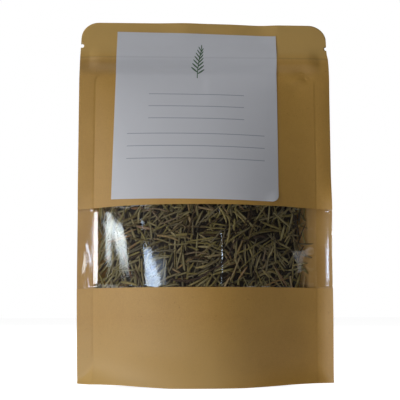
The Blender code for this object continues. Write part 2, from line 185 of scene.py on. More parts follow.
# soft waves, the step at the seal's inner edge, and the film's fold, its crease along the left seal, the slack
# beside the heap and the lips along the papers' edges
relief = {
    "waveHeight": 0.00022, "waveSize": 0.028, "sealStep": 0.00022, "sealSoft": 0.0006, "gussetStepHeight": 0.0336,
    "filmWave": 0.00007, "filmWaveSize": 0.016, "foldX": 0.0088, "foldHeight": 0.00052, "foldHalf": 0.0006,
    "foldTop": (0.115, 0.104), "creaseX": -0.0703, "creaseRamp": 0.0036, "creaseFade": (-0.042, -0.0672),
    "creaseStand": 0.00035, "rippleX": -0.0746, "rippleHalf": 0.0013, "rippleTop": (0.094, 0.066),
    "rippleStand": 0.00036, "slackFrom": (0.052, 0.06), "slackTo": (0.0705, 0.067), "slackStand": 0.00055,
    "slackSize": 0.009, "edgeIn": 0.0007, "edgeStand": 0.0001, "edgeHalf": 0.00045,
}


def waves(x, z, seed, size):
    return noise.noise(Vector((x / size, seed, z / size)))


def insideOpening(x, z):
    # how far a spot lies inside the open part of the pouch, whose upper corners are rounded
    radius = openCorner["radius"]
    fromSide = innerHalf - abs(x)
    fromTop = openCorner["top"] - z
    if fromSide < radius and fromTop < radius:
        return radius - hypot(radius - fromSide, radius - fromTop)
    return min(fromSide, fromTop)


def paperRelief(x, z, seed):
    # positive stands out from the pouch
    calm = smoothstep(0.004, 0.03, z)
    soft = relief["waveHeight"] * waves(x, z, seed, relief["waveSize"]) * calm
    inside = insideOpening(x, z)
    pressed = relief["sealStep"] * smoothstep(-relief["sealSoft"], relief["sealSoft"], inside)
    pressed *= smoothstep(0.032, 0.004, inside) * (smoothstep(0.1945, 0.188, z) if x > 0 else -1.0)
    ends = smoothstep(relief["gussetStepHeight"] + 0.0004, relief["gussetStepHeight"] - 0.0004, z)
    ends *= smoothstep(innerHalf - 0.001, innerHalf + 0.001, abs(x))
    dented = 0.0
    for dentX, dentZ, wide, high, depth in dents:
        reach = ((x - dentX) / wide) ** 2 + ((z - dentZ) / high) ** 2
        if reach < 9:
            dented += depth * exp(-reach)
    return soft + pressed + 0.0001 * ends + dented


def filmRelief(x, z):
    # waves of the stretched film, and one upright fold
    stand = relief["filmWave"] * waves(x, z, 7.3, relief["filmWaveSize"])
    foldX = relief["foldX"] + 0.0009 * cos((z - 0.077) / 0.012)
    fold = relief["foldHeight"] * exp(-(((x - foldX) / relief["foldHalf"]) ** 2))
    stand += fold * smoothstep(*relief["foldTop"], z) * (0.8 + 0.35 * noise.noise(Vector((3.1, 0, z * 160))))
    # drawn tight into the left seal, with a ripple along it that grows downwards
    ramp = min(1.0, max(0.0, (x - relief["creaseX"]) / relief["creaseRamp"]))
    stand += relief["creaseStand"] * ramp * smoothstep(*relief["creaseFade"], x)
    ripple = exp(-(((x - relief["rippleX"] + 0.0006 * sin(z * 300)) / relief["rippleHalf"]) ** 2))
    stand += relief["rippleStand"] * ripple * smoothstep(*relief["rippleTop"], z)
    # slack where the heap ends on the right, and a raised lip along the papers' edges
    slack = smoothstep(*relief["slackFrom"], x) * smoothstep(*relief["slackTo"], x)
    stand += relief["slackStand"] * slack * waves(x, z, 2.9, relief["slackSize"])
    for edge in (windowBottom + relief["edgeIn"], windowTop - relief["edgeIn"]):
        lip = exp(-(((z - edge) / relief["edgeHalf"]) ** 2))
        stand += relief["edgeStand"] * lip * (0.5 + 1.6 * waves(x, 0.0, edge * 1000, 0.009))
    return stand


def frontPoint(x, z, offset, stand, side=-1):
    depth = offset + side * bulge(x, z) + side * stand + lean(x, z) + sealTurn(x, z)
    return Vector((pulled(x, z), depth, lifted(x, z)))


def backPoint(x, z, offset, stand):
    return frontPoint(x, z, offset, stand, 1)


# Meshes


def spaced(places):
    # places are (value, step up to the next value); the last step isn't used
    found = [places[0][0]]
    for (low, step), (high, _) in zip(places, places[1:]):
        parts = max(1, ceil((high - low) / step - 1e-6))
        found += [low + (high - low) * (k + 1) / parts for k in range(parts)]
    return found


def gridOn(columns, rows, place):
    surface = bmesh.new()
    bmesh.ops.create_grid(surface, x_segments=len(columns) - 1, y_segments=len(rows) - 1, size=0.5)
    for point in surface.verts:
        column = round((point.co.x + 0.5) * (len(columns) - 1))
        row = round((point.co.y + 0.5) * (len(rows) - 1))
        point.co = place(columns[column], rows[row])
    return surface


def extruded(surface, region):
    # the new points and faces of an extrusion
    made = bmesh.ops.extrude_face_region(surface, geom=region)["geom"]
    return [[item for item in made if isinstance(item, kind)] for kind in (bmesh.types.BMVert, bmesh.types.BMFace)]


def thicken(surface, thickness):
    moved, _ = extruded(surface, surface.faces[:])
    bmesh.ops.translate(surface, verts=moved, vec=Vector((0, thickness, 0)))


def meshOf(name, surface):
    mesh = bpy.data.meshes.new(name)
    surface.to_mesh(mesh)
    surface.free()
    return mesh


def newObject(name, data):
    made = bpy.data.objects.new(name, data)
    bpy.context.scene.collection.objects.link(made)
    return made


def asObject(name, surface, material, sharp=50):
    # a closed bmesh becomes an object at the origin with its faces outward
    bmesh.ops.recalc_face_normals(surface, faces=surface.faces[:])
    mesh = meshOf(name, surface)
    mesh.shade_smooth()
    mesh.set_sharp_from_angle(angle=radians(sharp))
    if material:
        mesh.materials.append(material)
    return newObject(name, mesh)


def fineColumns(step=0.0016):
    half = pouch["halfWidth"]
    return spaced([(-half, 0.0012), (-innerHalf - 0.0016, 0.0004), (-innerHalf + 0.0016, step),
                   (innerHalf - 0.0016, 0.0004), (innerHalf + 0.0016, 0.0012), (half, 0)])


def fineRows(low, high, step=0.002):
    turns = [(0.0, step), (0.0326, 0.0004), (0.0346, step), (windowBottom, 0.0004), (0.0623, step),
             (0.1086, 0.0004), (windowTop, step), (0.192, 0.0008), (0.2095, step), (pouch["height"], 0)]
    return spaced([turn for turn in turns if low - 1e-6 <= turn[0] <= high + 1e-6])


def cutters():
    # for the rounded top corners and the tear notches
    made = []
    radius, half, height = pouch["cornerRadius"], pouch["halfWidth"], pouch["height"]
    for side in (-1, 1):
        edge = side * pulled(side * half, height)
        centreX, centreZ, reach = edge - radius, height - radius, 0.03
        turns = [radians(90) * k / 14 for k in range(15)]
        outline = [(centreX + radius * sin(t), centreZ + radius * cos(t)) for t in turns]
        outline += [(centreX + reach, centreZ), (centreX + reach, centreZ + reach), (centreX, centreZ + reach)]
        block = bmesh.new()
        block.faces.new([block.verts.new((side * x, -reach, z)) for x, z in outline])
        thicken(block, 2 * reach)
        made.append(asObject(f"cornerCutter{side}", block, None))
        inset, notchHeight = pouch["notches"][side]
        notchX = pulled(side * half, notchHeight) - side * inset
        place = Matrix.Translation((notchX, 0, notchHeight)) @ Matrix.Rotation(radians(90), 4, "X")
        bar = bmesh.new()
        bmesh.ops.create_cone(bar, cap_ends=True, segments=20, radius1=pouch["notchRadius"],
                              radius2=pouch["notchRadius"], depth=0.08, matrix=place)
        made.append(asObject(f"notchCutter{side}", bar, None))
    return made


def finished(target):
    bpy.context.view_layer.update()
    return bpy.data.meshes.new_from_object(target.evaluated_get(bpy.context.evaluated_depsgraph_get()))


def cutAway(target, tools):
    for tool in tools:
        bite = target.modifiers.new(tool.name, "BOOLEAN")
        bite.operation = "DIFFERENCE"
        bite.solver = "MANIFOLD"
        bite.object = tool
    cut = finished(target)
    target.modifiers.clear()
    cut.name = target.name
    target.data = cut


def dress(piece, nodes, slotName):
    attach(piece, "root")
    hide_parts(*nodes)


# Shader maths: a Wire is one output, and sums on it add Math nodes


class Wire:
    def __init__(self, paint, socket):
        self.paint = paint
        self.socket = socket

    def math(self, operation, *terms):
        return self.paint.node("ShaderNodeMath", {"operation": operation}, list(terms))

    def __add__(self, other):
        return self.math("ADD", self, other)

    __radd__ = __add__

    def __sub__(self, other):
        return self.math("SUBTRACT", self, other)

    def __rsub__(self, other):
        return self.math("SUBTRACT", other, self)

    def __mul__(self, other):
        return self.math("MULTIPLY", self, other)

    __rmul__ = __mul__

    def __truediv__(self, other):
        return self.math("DIVIDE", self, other)

    def __pow__(self, other):
        return self.math("POWER", self, other)

    def size(self):
        return self.math("ABSOLUTE", self)

    def below(self, edge):
        return self.math("LESS_THAN", self, edge)

    def larger(self, other):
        return self.math("MAXIMUM", self, other)

    def clipped(self):
        return self.paint.node("ShaderNodeClamp", {}, [self, 0.0, 1.0])


class Paint:
    # one material; fixed values go on the Principled sockets, and node() adds every other node
    def __init__(self, name, **fixed):
        self.material = bpy.data.materials.new(name)
        self.material.use_nodes = True
        self.tree = self.material.node_tree
        self.shader = self.tree.nodes["Principled BSDF"]
        for socketName, value in fixed.items():
            self.shader.inputs[socketName.replace("_", " ")].default_value = value

    def node(self, kind, settings, values, out=0):
        made = self.tree.nodes.new(kind)
        for setting, value in settings.items():
            if setting == "stops":
                for extra in range(len(value) - len(made.color_ramp.elements)):
                    made.color_ramp.elements.new(1.0)
                for element, (place, colour) in zip(made.color_ramp.elements, value):
                    element.position = place
                    element.color = (*colour, 1.0)
            else:
                setattr(made, setting, value)
        pairs = values.items() if isinstance(values, dict) else enumerate(values)
        for key, value in pairs:
            self.feed(made.inputs[key], value)
        return Wire(self, made.outputs[out])

    def feed(self, socket, value):
        if isinstance(value, Wire):
            self.tree.links.new(value.socket, socket)
        elif isinstance(value, tuple) and socket.type == "RGBA":
            socket.default_value = (*value, 1.0)
        else:
            socket.default_value = value

    def connect(self, socketName, value):
        self.feed(self.shader.inputs[socketName], value)

    def where(self):
        return self.node("ShaderNodeTexCoord", {}, {}, "Object")

    def parts(self, vector):
        split = self.node("ShaderNodeSeparateXYZ", {}, [vector])
        return [Wire(self, split.socket.node.outputs[k]) for k in range(3)]

    def scaled(self, vector, by):
        return self.node("ShaderNodeVectorMath", {"operation": "MULTIPLY"}, [vector, by])

    def noise(self, vector, scale, detail=3.0, roughness=0.5):
        return self.node("ShaderNodeTexNoise", {}, {"Vector": vector, "Scale": scale, "Detail": detail,
                                                    "Roughness": roughness})

    def blend(self, factor, low, high):
        # counted from 0, a Mix node's colour inputs are numbers 6 and 7, and its colour output is number 2
        return self.node("ShaderNodeMix", {"data_type": "RGBA"}, {0: factor, 6: low, 7: high}, 2)

    def bump(self, height, distance, strength):
        normal = self.node("ShaderNodeBump", {}, {"Height": height, "Distance": distance, "Strength": strength})
        self.connect("Normal", normal)


kraft = {
    "dark": (0.53, 0.282, 0.056), "light": (0.67, 0.378, 0.086), "fleck": (0.36, 0.173, 0.029), "grain": 1500.0,
    "cloud": 45.0, "fibres": ((2600.0, 2600.0, 320.0), (360.0, 900.0, 2400.0)), "fleckSize": 520.0,
    "roughness": 0.5, "bumpDepth": 0.0001,
}


# painted sheen: the paper is painted paler over the gusset and at the mouth, less so on the right, in place of the
# sheen of light reflected there
kraftPaintedSheen = {"colour": (0.72, 0.46, 0.15), "amount": 0.75, "low": 0.042, "lowRun": 0.036, "side": 0.034,
             "sideRun": 0.03, "high": 0.203, "highRun": 0.008}
# painted shade: the paper over the closed zip is painted darker, most on the left, with a fine painted shaded line
# along its upper side
zipPaintedShade = {"height": 0.2003, "half": 0.0058, "dark": 0.17, "reach": 0.12, "line": 0.2062, "lineHalf": 0.0007,
          "lineDark": 0.15}


# painted shade over the zip: darkens a colour in a band and in a fine line
def paintedZipShade(paint, colour, x, z, amount):
    band = (1 - ((z - zipPaintedShade["height"]) / zipPaintedShade["half"]) ** 2.0).clipped() * (0.55 - x / zipPaintedShade["reach"]).clipped()
    line = (1 - ((z - zipPaintedShade["line"]) / zipPaintedShade["lineHalf"]) ** 2.0).clipped()
    return paint.blend(band * zipPaintedShade["dark"] * amount + line * zipPaintedShade["lineDark"] * amount, colour, (0.0, 0.0, 0.0))


def kraftPaint(name):
    paint = Paint(name, Roughness=kraft["roughness"], Specular_IOR_Level=0.85)
    where = paint.where()
    cloud = paint.noise(where, kraft["cloud"], 4.0, 0.55)
    grain = paint.noise(where, kraft["grain"], 3.0, 0.65)
    upright, level = (paint.noise(paint.scaled(where, size), 1.0, 2.0, 0.6) for size in kraft["fibres"])
    fibres = upright * 0.6 + level * 0.4
    tone = (cloud - 0.5) * 0.75 + (grain - 0.5) * 0.9 + (fibres - 0.5) * 0.9 + 0.5
    colour = paint.blend(tone.clipped(), kraft["dark"], kraft["light"])
    flecks = (paint.noise(where, kraft["fleckSize"], 2.0, 0.7) - 0.665) * 9.0
    colour = paint.blend(flecks.clipped() * 0.55, colour, kraft["fleck"])
    x, _, z = paint.parts(where)
    # painted sheen: paler low down on the left and at the mouth
    low = ((kraftPaintedSheen["low"] - z) / kraftPaintedSheen["lowRun"]).clipped()
    low = low * ((kraftPaintedSheen["side"] - x) / kraftPaintedSheen["sideRun"]).clipped()
    high = ((z - kraftPaintedSheen["high"]) / kraftPaintedSheen["highRun"]).clipped()
    colour = paint.blend(low.larger(high) * kraftPaintedSheen["amount"], colour, kraftPaintedSheen["colour"])
    # the base colour takes the painted shade over the zip
    paint.connect("Base Color", paintedZipShade(paint, colour, x, z, 1.0))
    paint.connect("Roughness", kraft["roughness"] + (grain - 0.5) * 0.18)
    paint.bump(fibres * 0.7 + grain * 0.5 + cloud * 0.4, kraft["bumpDepth"], 0.5)
    return paint.material


film = {"shine": 1.5, "haze": 0.01, "hazeColour": (0.8, 0.8, 0.78), "tint": (0.985, 0.98, 0.965), "roughness": 0.07}


def filmPaint():
    # what is behind it, a thin milky haze and the gloss of its outer face
    paint = Paint("clearFilm")
    where = paint.where()
    outer = 1 - paint.node("ShaderNodeNewGeometry", {}, {}, "Backfacing")
    mottle = paint.noise(where, 160.0, 3.0, 0.6)
    clear = paint.node("ShaderNodeBsdfTransparent", {}, {"Color": film["tint"]})
    milk = paint.node("ShaderNodeBsdfDiffuse", {}, {"Color": film["hazeColour"]})
    body = paint.node("ShaderNodeMixShader", {}, [outer * film["haze"] * (0.4 + mottle * 1.2), clear, milk])
    normal = paint.node("ShaderNodeBump", {}, {"Height": paint.noise(where, 240.0, 2.0), "Distance": 0.00002,
                                               "Strength": 0.2})
    gloss = paint.node("ShaderNodeBsdfGlossy", {}, {"Color": (1.0, 1.0, 1.0), "Roughness": film["roughness"],
                                                    "Normal": normal})
    mirror = paint.node("ShaderNodeFresnel", {}, {"IOR": 1.5, "Normal": normal}) * film["shine"] * outer
    both = paint.node("ShaderNodeMixShader", {}, [mirror.clipped(), body, gloss])
    output = paint.tree.nodes["Material Output"]
    paint.tree.links.new(both.socket, output.inputs["Surface"])
    paint.tree.nodes.remove(paint.shader)
    return paint.material


labelPrint = {
    "paper": (0.755, 0.75, 0.785), "ink": (0.03, 0.105, 0.028), "rule": (0.25, 0.27, 0.34),
    "sprigFoot": (0.0005, 0.0245), "sprigLength": 0.019, "sprigCurve": 7.0, "stemHalf": 0.0003, "leaves": 15,
    "leafHalf": (0.0027, 0.00052), "leafLean": (58, 24), "ruleHalf": 0.0002,
    "rules": ((0.013, 0.03), (0.005, 0.03), (-0.003, 0.03), (-0.013, 0.043), (-0.021, 0.043), (-0.029, 0.043)),
}
labelShape = {"width": 0.1028, "height": 0.109, "centre": (-0.0059, 0.1683), "turn": radians(0.98),
              "gap": 0.0001, "thickness": 0.00014, "bridge": 0.002,
              "taper": 0.02, "corner": 0.004, "curl": 0.0012, "curlReach": 0.009}
halfLabelWidth, halfLabelHeight = labelShape["width"] / 2, labelShape["height"] / 2


def labelPaint():
    # white paper with a plain sprig and ruled lines to write on
    paint = Paint("labelPaper", Roughness=0.42, Specular_IOR_Level=0.42)
    where = paint.where()
    placeX, _, placeZ = paint.parts(where)
    x = placeX - labelShape["centre"][0]
    z = placeZ - labelShape["centre"][1]
    level, slant = cos(labelShape["turn"]), sin(labelShape["turn"])
    across = x * level - z * slant
    up = x * slant + z * level
    footX, footZ = labelPrint["sprigFoot"]
    length = labelPrint["sprigLength"]
    rise = up - footZ
    stem = (across - footX - rise * rise * labelPrint["sprigCurve"]).size().below(labelPrint["stemHalf"])
    ink = stem * (rise - length / 2).size().below(length / 2)
    for k in range(labelPrint["leaves"]):
        share = (k + 1) / labelPrint["leaves"]
        side = 0 if share == 1 else (-1) ** k
        startLean, endLean = labelPrint["leafLean"]
        angle = radians(startLean + (endLean - startLean) * share) * side
        halfLength, halfWidth = (size * (1.0 - 0.35 * share) for size in labelPrint["leafHalf"])
        height = length * (0.1 + 0.9 * share)
        middleX = footX + labelPrint["sprigCurve"] * height**2 + sin(angle) * halfLength
        middleZ = footZ + height + cos(angle) * halfLength
        along = (across - middleX) * sin(angle) + (up - middleZ) * cos(angle)
        beside = (across - middleX) * cos(angle) - (up - middleZ) * sin(angle)
        reach = (along / halfLength) ** 2.0 + (beside / halfWidth) ** 2.0
        ink = ink.larger(reach.below(1.0))
    rules = 0.0
    for height, half in labelPrint["rules"]:
        line = (up - height).size().below(labelPrint["ruleHalf"]) * across.size().below(half)
        rules = line + rules
    mottle = paint.noise(where, 90.0)
    paper = paint.blend(mottle, tuple(v * 0.975 for v in labelPrint["paper"]), labelPrint["paper"])
    # painted shade over the zip, weaker on the label
    paper = paintedZipShade(paint, paper, placeX, placeZ, 0.55)
    colour = paint.blend(rules.clipped() * 0.8, paper, labelPrint["rule"])
    colour = paint.blend(ink.clipped() * 0.92, colour, labelPrint["ink"])
    paint.connect("Base Color", colour)
    paint.bump(paint.noise(where, 1400.0, 2.0, 0.6) + mottle * 1.5, 0.00005, 0.35)
    return paint.material


leafTones = (
    (0.0, (0.035, 0.02, 0.009)), (0.12, (0.094, 0.057, 0.025)), (0.28, (0.193, 0.141, 0.049)),
    (0.5, (0.292, 0.235, 0.078)), (0.72, (0.421, 0.341, 0.123)), (0.86, (0.526, 0.408, 0.18)),
    (0.93, (0.386, 0.233, 0.095)), (0.97, (0.655, 0.424, 0.199)), (1.0, (0.304, 0.106, 0.038)),
)


def leafPaint():
    # leafTone is one value a leaf; leafUnder is 1 in the pale groove on its underside
    paint = Paint("driedLeaf", Roughness=0.55, Specular_IOR_Level=0.35)
    where = paint.where()
    tone = paint.node("ShaderNodeAttribute", {"attribute_name": "leafTone"}, {}, "Fac")
    under = paint.node("ShaderNodeAttribute", {"attribute_name": "leafUnder"}, {}, "Fac")
    speckle = paint.noise(where, 1300.0, 3.0, 0.7)
    streak = paint.noise(where, 420.0, 2.0)
    colour = paint.node("ShaderNodeValToRGB", {"stops": leafTones}, [tone])
    colour = paint.blend(((speckle - 0.5) * 1.6 + 0.15).clipped(), colour, (0.04, 0.028, 0.015))
    colour = paint.blend(under * 0.45, colour, (0.4, 0.35, 0.22))
    paint.connect("Base Color", colour)
    paint.connect("Roughness", 0.45 + streak * 0.25)
    paint.bump(speckle + streak, 0.00012, 0.6)
    return paint.material


def twigPaint(name, dark, light):
    paint = Paint(name, Roughness=0.7)
    where = paint.where()
    bark = paint.noise(where, 700.0, 4.0, 0.7)
    paint.connect("Base Color", paint.blend(((bark - 0.35) * 2.2).clipped(), dark, light))
    paint.bump(bark, 0.0002, 0.7)
    return paint.material


def zipPaint():
    paint = Paint("zipRail", Roughness=0.28, Alpha=0.75)
    where = paint.where()
    cloud = paint.noise(where, 120.0, 2.0)
    paint.connect("Base Color", paint.blend(cloud, (0.78, 0.79, 0.77), (0.9, 0.9, 0.88)))
    return paint.material


kraftOutside = kraftPaint("kraftPaper")
filmMaterial = filmPaint()
print("materials made")

# The webs
tools = cutters()


def filmGrid():
    # finest at its crease, its fold and the papers' edges
    half, inner = pouch["halfWidth"], innerHalf
    columns = spaced([(-half, 0.0006), (-inner - 0.0016, 0.0004), (-inner + 0.0036, 0.0014), (0.0066, 0.0002),
                      (0.011, 0.0014), (inner - 0.018, 0.0008), (inner + 0.0016, 0.0006), (half, 0)])
    rows = spaced([(0.0, 0.002), (0.0326, 0.0004), (0.0346, 0.002), (windowBottom - 0.0012, 0.0003),
                   (windowBottom + 0.0024, 0.0008), (windowTop - 0.0024, 0.0003), (windowTop + 0.0012, 0.002),
                   (0.192, 0.0008), (0.2095, 0.002), (pouch["height"], 0)])
    return columns, rows


def buildWeb(name, node, low, high, wall, ply, stand, material, slotName):
    front, thickness = plies[ply]
    columns, rows = filmGrid() if ply == "film" else (fineColumns(), fineRows(low, high))
    surface = gridOn(columns, rows, lambda x, z: wall(x, z, front, stand(x, z)))
    thicken(surface, thickness)
    piece = asObject(name, surface, material)
    if high >= pouch["height"] - 1e-6:
        cutAway(piece, tools)
    dress(piece, [node], slotName)
    print(name, len(piece.data.polygons), "faces")


def frontRelief(x, z):
    return paperRelief(x, z, 1.7)


def windowRelief(x, z):
    # under the papers the film follows them; in the window it has its own waves
    bare = smoothstep(windowBottom - 0.003, windowBottom + 0.003, z)
    bare *= smoothstep(windowTop + 0.003, windowTop - 0.003, z)
    return frontRelief(x, z) * (1 - 0.6 * bare) + filmRelief(x, z) * bare


def backRelief(x, z):
    return paperRelief(x, z, 5.1)


kraftWeb, filmWeb = (kraftOutside, "kraft_paper"), (filmMaterial, "clear_film")
buildWeb("frontPaperUpper", "front_paper_upper", windowTop, pouch["height"], frontPoint, "paper", frontRelief,
         *kraftWeb)
buildWeb("frontPaperLower", "front_paper_lower", 0.0, windowBottom, frontPoint, "paper", frontRelief, *kraftWeb)
buildWeb("windowFilm", "window_film", 0.0, pouch["height"], frontPoint, "film", windowRelief, *filmWeb)
buildWeb("backPanel", "back_panel", 0.0, pouch["height"], backPoint, "back", backRelief, *kraftWeb)
for tool in tools:
    bpy.data.objects.remove(tool)

# The gusset: a sagging belly between two hems sealed inside the walls
gusset = {"end": 0.066, "seam": 0.005, "rise": 0.034, "flat": 0.03, "belly": 0.45, "clear": 0.0009,
          "thickness": 0.0003}


def cavityFront(x, z):
    return plies["film"][0] + plies["film"][1] - bulge(x, z)


def cavityBack(x, z):
    return plies["back"][0] + bulge(x, z)


def sideRise(x):
    return (max(0.0, abs(x) - gusset["flat"]) / (gusset["end"] - gusset["flat"])) ** 2


def keel(x):
    return gusset["rise"] * sideRise(x)


def seam(x):
    return gusset["seam"] + (gusset["rise"] + 0.001 - gusset["seam"]) * sideRise(x)


def gussetPoint(x, step):
    # step runs from -1.5, the front hem's edge, over -1, its seam, to 0, the belly, and on to the back hem
    place, side = abs(step), (-1 if step < 0 else 1)
    if place > 1:
        z = 0.0002 + (seam(x) - 0.0002) * (1.5 - place) / 0.5
        share = 1.0
    else:
        share = 1 - (1 - place) ** 1.6
        z = keel(x) + (seam(x) - keel(x)) * (max(0.0, share - gusset["belly"]) / (1 - gusset["belly"])) ** 2
    reach = cavityFront(x, z) + gusset["clear"] if side < 0 else cavityBack(x, z) - gusset["clear"]
    middle = (cavityFront(x, z) + cavityBack(x, z)) / 2
    return Vector((pulled(x, z), middle + (reach - middle) * share, lifted(x, z)))


gussetColumns = spaced([(-gusset["end"], 0.002), (gusset["end"], 0)])
gussetSteps = spaced([(-1.5, 0.125), (-1.0, 0.05), (1.0, 0.125), (1.5, 0)])
gussetSurface = gridOn(gussetColumns, gussetSteps, gussetPoint)
bmesh.ops.solidify(gussetSurface, geom=gussetSurface.faces[:], thickness=-gusset["thickness"])
gussetPiece = asObject("bottomGusset", gussetSurface, kraftOutside, 60)
dress(gussetPiece, ["bottom_gusset"], "kraft_paper")
print("gusset made")

# The label


def paperFace(x, z):
    flatZ = z - (lifted(x, z) - z)
    flatX = x * x / pulled(x, flatZ) if x else 0.0
    return lean(x, flatZ) + plies["paper"][0] - bulge(flatX, flatZ) - frontRelief(flatX, flatZ)


def labelPoint(across, up):
    level, slant = cos(labelShape["turn"]), sin(labelShape["turn"])
    toEdge, toFoot = halfLabelWidth - across, halfLabelHeight + up
    corner = labelShape["corner"]
    if toEdge < corner and toFoot < corner:
        # the lower right corner is rounded: its square is squeezed into a quarter of a disc
        u, v = 1 - toEdge / corner, 1 - toFoot / corner
        across += corner * (u * sqrt(1 - v * v / 2) - u)
        up -= corner * (v * sqrt(1 - u * u / 2) - v)
    across *= 1 - labelShape["taper"] * up / labelShape["height"]
    x = labelShape["centre"][0] + across * level + up * slant
    z = labelShape["centre"][1] - across * slant + up * level
    bridge = labelShape["bridge"]
    near = [paperFace(x, z + shift * bridge) for shift in (-1, -0.5, 0, 0.5, 1)]
    rest = sum(sorted(near)[:3]) / 3
    fromCorner = hypot(halfLabelWidth - across, halfLabelHeight + up)
    curl = labelShape["curl"] * smoothstep(labelShape["curlReach"], 0.0, fromCorner)
    return Vector((x, min(rest, paperFace(x, z)) - labelShape["gap"] - curl - labelShape["thickness"], z))


labelColumns = spaced([(-halfLabelWidth, 0.0016), (halfLabelWidth - 0.0048, 0.0006), (halfLabelWidth, 0)])
labelRows = spaced([(-halfLabelHeight, 0.0006), (-halfLabelHeight + 0.0048, 0.0016), (0.022, 0.0008),
                    (0.043, 0.0016), (halfLabelHeight, 0)])
labelSurface = gridOn(labelColumns, labelRows, labelPoint)
thicken(labelSurface, labelShape["thickness"])
dress(asObject("labelSheet", labelSurface, labelPaint()), ["label"], "label_paper")
print("label made")

# The zip's rails are right as they are and take a finish of their own
zipMaterial = zipPaint()
for rail in ("zip_groove_rail", "zip_rib_rail"):
    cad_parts[rail].data.materials.clear()
    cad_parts[rail].data.materials.append(zipMaterial)

# The dried leaves: a core that stands for the leaves further in, in the darkest leaf tone as painted shade for the
# gaps between the front leaves, and leaves laid one on another up to the film
heap = {
    "side": 0.058, "top": 0.124, "inset": 0.0046, "backInset": 0.003, "floorGap": 0.0015, "seed": 23,
    "windowLeaves": 1000, "hiddenLeaves": 260, "lengths": (0.0095, 0.021), "widths": (0.0011, 0.0019),
    "flatness": 0.72, "filmGap": 0.00025, "cell": 0.0005, "across": (-0.0685, 0.066), "pastWindow": 0.006,
    "thinRight": (0.0545, 0.066), "thinLeft": (-0.066, -0.069), "rim": 0.0688,
    "turn": (radians(62), radians(52)), "bend": 0.16, "roll": 0.5, "hiddenAcross": (-0.055, 0.055),
    "hiddenFoot": 0.012, "hiddenBack": 0.55,
}


def heapTop(x):
    return heap["top"] - 0.012 * (x / heap["side"]) ** 2 + 0.002 * sin(90 * x)


def heapCore():
    columns = spaced([(-heap["side"], 0.002), (heap["side"], 0)])
    shares = spaced([(0.0, 0.02), (1.0, 0)])

    def place(x, share):
        low = seam(x) + heap["floorGap"]
        z = low + (heapTop(x) - low) * share
        return Vector((pulled(x, z), 0, z))

    core = gridOn(columns, shares, place)
    front = core.verts[:]
    back, _ = extruded(core, core.faces[:])
    for points, wall, inset in ((front, cavityFront, heap["inset"]), (back, cavityBack, -heap["backInset"])):
        for point in points:
            rough = 0.0006 * noise.noise(point.co * 700)
            point.co.y = wall(point.co.x, point.co.z) + inset + rough
    return core


def leafTemplate():
    # a needle leaf one metre long along Z, 1 wide in X: round above, grooved below
    leaf = bmesh.new()
    ring = bmesh.ops.create_circle(leaf, cap_ends=True, segments=6, radius=0.5)["verts"]
    section = ((0.5, 0.0), (0.27, 0.34), (-0.27, 0.34), (-0.5, 0.0), (-0.24, -0.32), (0.24, -0.32))
    for point, (x, y) in zip(sorted(ring, key=lambda v: atan2(v.co.y, v.co.x) % tau), section):
        point.co = Vector((x, y, 0))
    face = leaf.faces[:]
    for station in (0.06, 0.22, 0.42, 0.62, 0.82, 0.96, 1.0):
        # with its edges named too, the face that is left behind inside the leaf goes
        top, face = extruded(leaf, face + face[0].edges[:])
        for point in top:
            point.co.z = station
    bmesh.ops.recalc_face_normals(leaf, faces=leaf.faces[:])
    return meshOf("leafTemplate", leaf)


def leafWidthAt(t):
    return np.interp(t, [0, 0.06, 0.22, 0.62, 0.82, 0.96, 1.0], [0.45, 0.72, 1.0, 1.0, 0.86, 0.45, 0.15])


class Pile:
    # how near the film each spot of the heap reaches, as a depth behind it
    def __init__(self):
        self.left = -0.075
        self.cell = heap["cell"]
        columns, rows = int(0.15 / self.cell), int(0.13 / self.cell)
        self.depth = np.zeros((columns, rows))
        self.kept = np.full((columns, rows), heap["filmGap"])
        for i in range(columns):
            x = self.left + (i + 0.5) * self.cell
            for j in range(0, rows, 4):
                z = (j + 2) * self.cell
                apart = cavityBack(x, z) - cavityFront(x, z) - 0.0004
                core = heap["inset"] if abs(x) < heap["side"] and z < heapTop(x) else apart
                self.depth[i, j:j + 4] = max(0.0, min(core, apart))

    def keepFree(self, points, reach, depth):
        # nothing comes nearer the film than depth within reach of a stem's centre line
        steps = int(ceil(reach / self.cell))
        for place in points:
            (i,), (j,) = self.at(np.array([place]))
            near = (slice(max(0, i - steps), i + steps + 1), slice(max(0, j - steps), j + steps + 1))
            self.kept[near] = np.maximum(self.kept[near], depth)

    def at(self, points):
        i = np.clip(((points[:, 0] - self.left) / self.cell).astype(int), 0, self.depth.shape[0] - 1)
        j = np.clip((points[:, 1] / self.cell).astype(int), 0, self.depth.shape[1] - 1)
        return i, j


def layLeaf(pile, x, z, turn, length, width, bend):
    # the centre line of a leaf that comes to rest on the pile, or None where it would touch the film
    t = np.linspace(0.0, 1.0, 15)
    along = np.array((cos(turn), sin(turn)))
    aside = np.array((-sin(turn), cos(turn)))
    line = (x, z) + np.outer((t - 0.5) * length, along) + np.outer(bend * length * ((t - 0.5) ** 2 - 0.08), aside)
    spots = np.concatenate([line + aside * width * share for share in (-0.35, 0.0, 0.35)])
    i, j = pile.at(spots)
    under = pile.depth[i, j].reshape(3, -1).min(axis=0)
    first, last = np.sort(under[:8])[1], np.sort(under[7:])[1]
    thick = width * heap["flatness"]
    tilt = np.clip(last - first, -0.16 * length, 0.16 * length)
    level = (first + last) / 2 + tilt * (t - 0.5) * 1.1 - thick * 0.5
    rim = np.abs(line[:, 0]) > heap["rim"]
    kept = pile.kept[i, j].reshape(3, -1).max(axis=0)
    if (level - thick * 0.5 < kept).any() or rim.any():
        return None
    top = np.tile(level - thick * 0.42, 3)
    pile.depth[i, j] = np.minimum(pile.depth[i, j], top)
    return line, level


